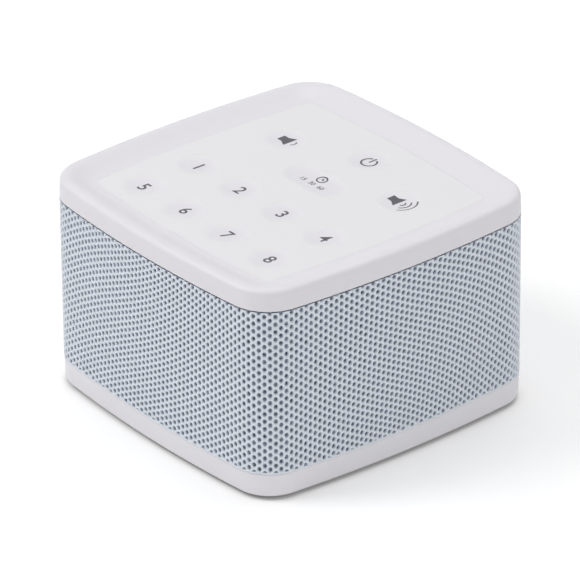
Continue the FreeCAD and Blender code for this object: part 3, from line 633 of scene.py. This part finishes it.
# Lining and hem: the back layer of the same knit, which shows through the holes as a darker,
# mottled ground, and the closed strip along its lower edge, where it meets the base.
LINING_FACE, LINING_BACK = 0.95 * MM, 1.28 * MM
HEM_FACE, HEM_TOP = 0.06 * MM, FABRIC_LOW + 0.5 * MM
lining = Finish("lining", {"Roughness": 0.9})
spacer = (lining.noise(1300.0, 3.0, 0.6) * 3.0 - 1.0).clamped()
lining.drive("Base Color", lining.mix(spacer, srgb(56, 63, 80), srgb(186, 195, 212)))
lining.bump(spacer, 0.0002)
for name, face, back, top, finish in (("fabric_lining", LINING_FACE, LINING_BACK, FABRIC_TOP, lining),
                                      ("fabric_hem", HEM_FACE, LINING_FACE, HEM_TOP, yarn)):
    ring_mesh = bmesh.new()
    carry_round(ring_mesh, [(face, FABRIC_LOW), (back, FABRIC_LOW), (back, top), (face, top)])
    finish_piece(name, ring_mesh, finish.material)


# Base, carrier, frame, feet and the parts inside keep their own shapes from the CAD, and each
# gets the finish of its stock: mouldings, rubber, plated and pressed steel, board and cloth. The
# base's lowest edge, up to UNDERSIDE, is painted dark as a painted shade of the gap over the table,
# and shows as a thin dark line. Above it the base is painted a little lighter than the cap, a
# painted glow of the light that the table throws back.
UNDERSIDE, UNDERSIDE_FADE = 1.4 * MM, 0.2 * MM


def brushed(name, colour, roughness, streaks):
    """Metal with fine streaks; streaks gives their number to the metre along each axis."""
    finish = Finish(name, {"Metallic": 1.0})
    vector = finish.add("ShaderNodeVectorMath", {"operation": "MULTIPLY"}, {0: finish.place(), 1: streaks})
    streak = finish.add("ShaderNodeTexNoise", {}, {"Vector": vector, "Scale": 1.0, "Detail": 3.0})
    finish.drive("Base Color", finish.mix(streak, shade(colour, 0.86), shade(colour, 1.1)))
    finish.drive("Roughness", streak * 0.2 + (roughness - 0.1))
    finish.bump(streak, 0.00003)
    return finish.material


def waves(finish, axis, pitch):
    """Ridges of that pitch, 0 to 1, along an axis."""
    return (finish.along(axis) * (2 * math.pi / pitch)).maths("SINE") * 0.5 + 0.5


def cloth(name, colour, pitch):
    """Woven threads that cross, painted lighter at the crossings and darker between the threads, as
    painted light and shade of the weave.
    """
    finish = Finish(name, {"Roughness": 0.9})
    weave = waves(finish, 0, pitch) * waves(finish, 1, pitch)
    # Painted light and shade: lighter where the threads cross, darker in the gaps between them.
    finish.drive("Base Color", finish.mix(weave, shade(colour, 0.6), shade(colour, 1.15)))
    finish.bump(weave, 0.0001)
    return finish.material


def wound(name, colour, pitch):
    """Enamelled wire, turn over turn, painted darker in the grooves between turns as painted shade."""
    finish = Finish(name, {"Metallic": 1.0, "Roughness": 0.3})
    turns = waves(finish, 2, pitch)
    # Painted shade: the wire is painted darker in the grooves between its turns.
    finish.drive("Base Color", finish.mix(turns, shade(colour, 0.45), colour))
    finish.bump(turns, 0.00008)
    return finish.material


def porous(name, colour, pore):
    """Foam with open cells, painted darker toward each cell's middle as a painted shade of its pit."""
    finish = Finish(name, {"Roughness": 0.95})
    cells = finish.add("ShaderNodeTexVoronoi", {}, {"Vector": finish.place(), "Scale": 1 / pore})
    # Painted shade: each cell is painted darker toward its middle, where the pit lies, and lighter at its
    # walls.
    finish.drive("Base Color", finish.mix(cells, shade(colour, 0.5), shade(colour, 1.3)))
    finish.bump(cells, 0.0003)
    return finish.material


def circuit_board(name, mask, track):
    """Solder mask over copper tracks, which show as paler lines."""
    finish = Finish(name, {"Roughness": 0.35})
    relief = finish.noise(160.0, 1.0)
    lines = (1.0 - (relief - 0.5).maths("ABSOLUTE") * 60.0).clamped()
    finish.drive("Base Color", finish.mix(lines, mask, track))
    finish.bump(lines, 0.00004)
    return finish.material


black_plastic = moulded("black_plastic", srgb(40, 40, 43), 0.5, grain=0.00003)
base_painted_light = Finish("base_painted_light", {})
# Painted shade and light: below UNDERSIDE, fading over UNDERSIDE_FADE, the base is painted dark for the
# shadow gap over the table. Above, its white is painted lighter than the cap's for the table's bounced
# light.
painted_gap_shade = ((UNDERSIDE - base_painted_light.along(2)) * (1 / UNDERSIDE_FADE)).clamped()
base_painted_light.drive("Base Color", base_painted_light.mix(painted_gap_shade, srgb(221, 219, 223), srgb(78, 73, 71)))
grained(base_painted_light, 0.42)
white_plastic = moulded("white_plastic", srgb(226, 226, 226), 0.5)
foot_rubber = moulded("foot_rubber", srgb(72, 72, 74), 0.8, grain=0.00006)
chip_black = moulded("chip_black", srgb(34, 34, 36), 0.45, grain=0.00004, grain_scale=6000.0)
connector_cream = moulded("connector_cream", srgb(226, 219, 200), 0.45)
basket_steel = moulded("basket_steel", srgb(44, 44, 45), 0.4, grain=0.00002, plain={"Coat Weight": 0.2})
surround_rubber = moulded("surround_rubber", srgb(36, 36, 37), 0.6, grain=0.00004)
cone_paper = moulded("cone_paper", srgb(58, 56, 54), 0.85, grain=0.0002, grain_scale=1500.0, uneven=0.15)
ferrite = moulded("ferrite", srgb(62, 62, 65), 0.55, grain=0.00008, grain_scale=3500.0, uneven=0.08)
terminal_board = moulded("terminal_board", srgb(150, 110, 72), 0.8, grain=0.0001, uneven=0.12)
led_lens = moulded("led_lens", srgb(238, 236, 214), 0.2, grain=0.0, plain={"Coat Weight": 0.5})
wire_red = moulded("wire_red", srgb(168, 38, 34), 0.5, grain=0.00003)
wire_black = moulded("wire_black", srgb(38, 38, 40), 0.5, grain=0.00003)
socket_steel = brushed("socket_steel", srgb(205, 205, 208), 0.25, (300.0, 4000.0, 300.0))
plated_steel = brushed("plated_steel", srgb(200, 196, 184), 0.32, (900.0, 900.0, 6000.0))
screw_steel = brushed("screw_steel", srgb(196, 196, 198), 0.3, (5000.0, 5000.0, 700.0))
can_aluminium = brushed("can_aluminium", srgb(214, 214, 216), 0.28, (500.0, 500.0, 5000.0))
board_green = circuit_board("board_green", srgb(22, 84, 50), srgb(52, 128, 80))
foam_black = porous("foam_black", srgb(44, 44, 46), 0.0004)
spider_cloth = cloth("spider_cloth", srgb(196, 164, 98), 0.0005)
coil_copper = wound("coil_copper", srgb(214, 140, 92), 0.0002)
carried = {
    "base_tray": base_painted_light.material, "key_carrier": white_plastic, "rubber_feet": foot_rubber,
    "grille_frame": black_plastic, "sound_deflector": black_plastic, "switch_bodies": black_plastic,
    "usb_tongue": black_plastic, "usb_shell": socket_steel, "usb_board": board_green,
    "main_board": board_green, "sound_chip": chip_black, "amplifier_chip": chip_black,
    "capacitors": can_aluminium, "board_connectors": connector_cream, "timer_leds": led_lens,
    "speaker_basket": basket_steel, "speaker_gasket": foam_black, "wire_grommet": surround_rubber,
    "speaker_surround": surround_rubber, "speaker_cone": cone_paper, "dust_cap": cone_paper,
    "voice_coil": coil_copper, "speaker_spider": spider_cloth, "front_plate": plated_steel,
    "pole_piece": plated_steel, "ring_magnet": ferrite, "terminal_strip": terminal_board,
    "speaker_wires": wire_red, "power_wires": wire_black}
carried.update({name: screw_steel for name in nodes if name.endswith("screws")})
for name, material in carried.items():
    nodes[name].material_slots[0].material = material
